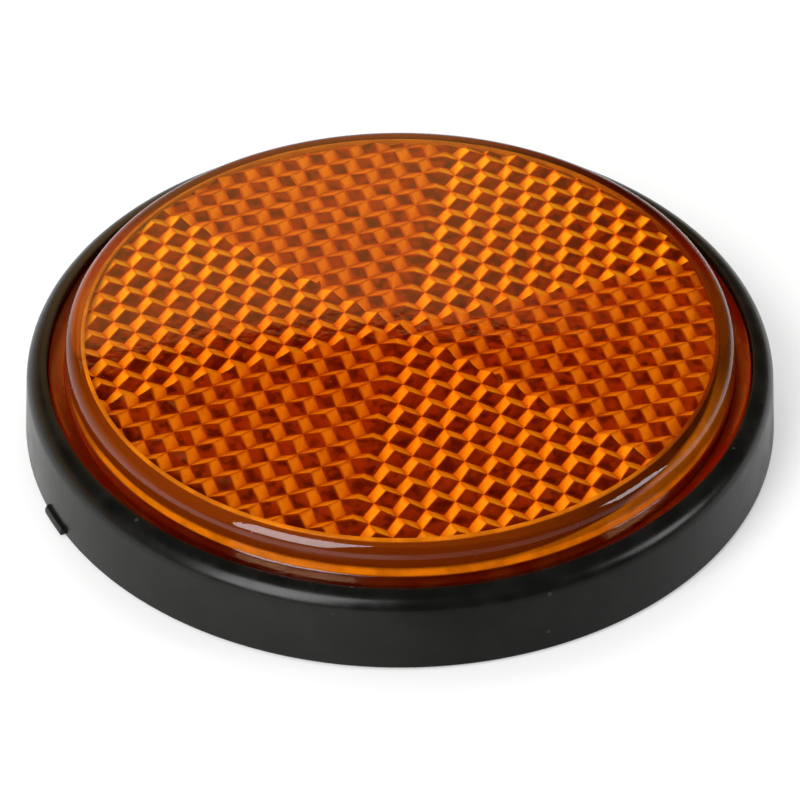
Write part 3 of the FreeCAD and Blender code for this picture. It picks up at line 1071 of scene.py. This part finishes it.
def worldLight(look):
    world = bpy.data.worlds.new("studio")
    scene.world = world
    world.use_nodes = True
    tree = world.node_tree
    tree.nodes.clear()
    out = addNode(tree, "ShaderNodeOutputWorld")
    sky = addNode(tree, "ShaderNodeBackground")
    way = apart(tree, addNode(tree, "ShaderNodeTexCoord").outputs["Generated"])
    fade, leftFade, cardEdge = (
        [math.sin(math.radians(a)) for a in look[name]] for name in ("fade", "leftFade", "cardEdge"))
    paper = product(
        tree,
        ramp(tree, way["Z"], *fade, look["backdrop"], 0.0),
        ramp(tree, way["Y"], *look["front"]),
        ramp(tree, way["X"], *look["right"]))
    leftPaper = product(
        tree,
        ramp(tree, way["Z"], *leftFade, look["backdrop"], 0.0),
        ramp(tree, way["X"], *look["leftSide"]),
        ramp(tree, way["Y"], *look["leftFront"]))
    above = ramp(tree, way["Z"], *fade)
    card = product(
        tree,
        ramp(tree, way["Z"], *cardEdge, look["card"], 0.0),
        ramp(tree, way["X"], *look["cardLeft"]),
        ramp(tree, way["X"], *look["cardRight"]),
        ramp(tree, way["Y"], *look["cardFront"]),
        above)
    seen = compute(tree, "ADD", compute(tree, "MAXIMUM", paper, leftPaper), card)
    rays, direct = seenDirectly(tree)
    hue = blend(tree, above, look["paper"], look["warm"])
    mirrored = compute(tree, "MAXIMUM", rays["Is Glossy Ray"], rays["Is Transmission Ray"])
    wire(tree, blend(tree, mirrored, (1.0, 1.0, 1.0), hue), sky.inputs["Color"])
    level = between(tree, direct, look["ambient"], seen)
    white = between(tree, rays["Is Camera Ray"], level, 1.0)  # the camera sees plain white
    wire(tree, white, sky.inputs["Strength"])
    wire(tree, sky.outputs[0], out.inputs["Surface"])


lampLook = {  # direction, distance, width, height, share of light at the object, seen in gloss and glass
    "window": ((-0.474, -0.629, 0.616), 0.9, 0.48, 0.78, 0.98, True),
    "sideLeft": ((-0.80, 0.15, 0.58), 0.9, 0.50, 0.50, 0.18, False),
    "sideRight": ((0.87, -0.14, 0.47), 0.9, 0.32, 0.30, 0.22, True),
    "back": ((0.0, 0.6, 0.8), 0.9, 0.60, 0.60, 0.30, False),
    "top": ((0.0, 0.0, 1.0), 0.9, 0.60, 0.60, 0.08, False),
}


def lampPieces(lamps):
    for name, (way, distance, width, height, share, seen) in lamps.items():
        place = Vector(way).normalized() * distance
        lamp = bpy.data.lights.new(name, "AREA")
        lamp.shape = "RECTANGLE"
        lamp.size = width
        lamp.size_y = height
        lamp.energy = share * math.pi ** 2 * distance ** 2
        holder = bpy.data.objects.new(name, lamp)
        holder.location = place
        holder.rotation_euler = (-place).to_track_quat("-Z", "Y").to_euler()
        holder.visible_glossy = seen
        holder.visible_transmission = seen
        scene.collection.objects.link(holder)


amber = amberPlastic("amberPlastic", amberLook, amberLook["ior"])
flange = amberPlastic("amberFlange", amberLook, amberLook["flangeIor"])
facets = amberFacets(facetLook, insideLook)
wall = amberWall(wallLook, insideLook)
black = blackPlastic(blackLook)
padding = padFoam(foamLook)
print("finishes:", len(bpy.data.materials), "materials")

lens = lensPiece(lensLook, amber, facets, wall, flange)
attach(lens, "root")
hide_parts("lens")

housing = housingPiece(housingLook, black)
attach(housing, "root")
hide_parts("housing")

pad = padPiece(padLook, padding)
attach(pad, "root")
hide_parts("adhesive_pad")

cameraPiece(cameraLook)
floorPiece(floorLook)
worldLight(worldLook)
lampPieces(lampLook)
print("studio: camera, floor, backdrop and", len(lampLook), "lamps")
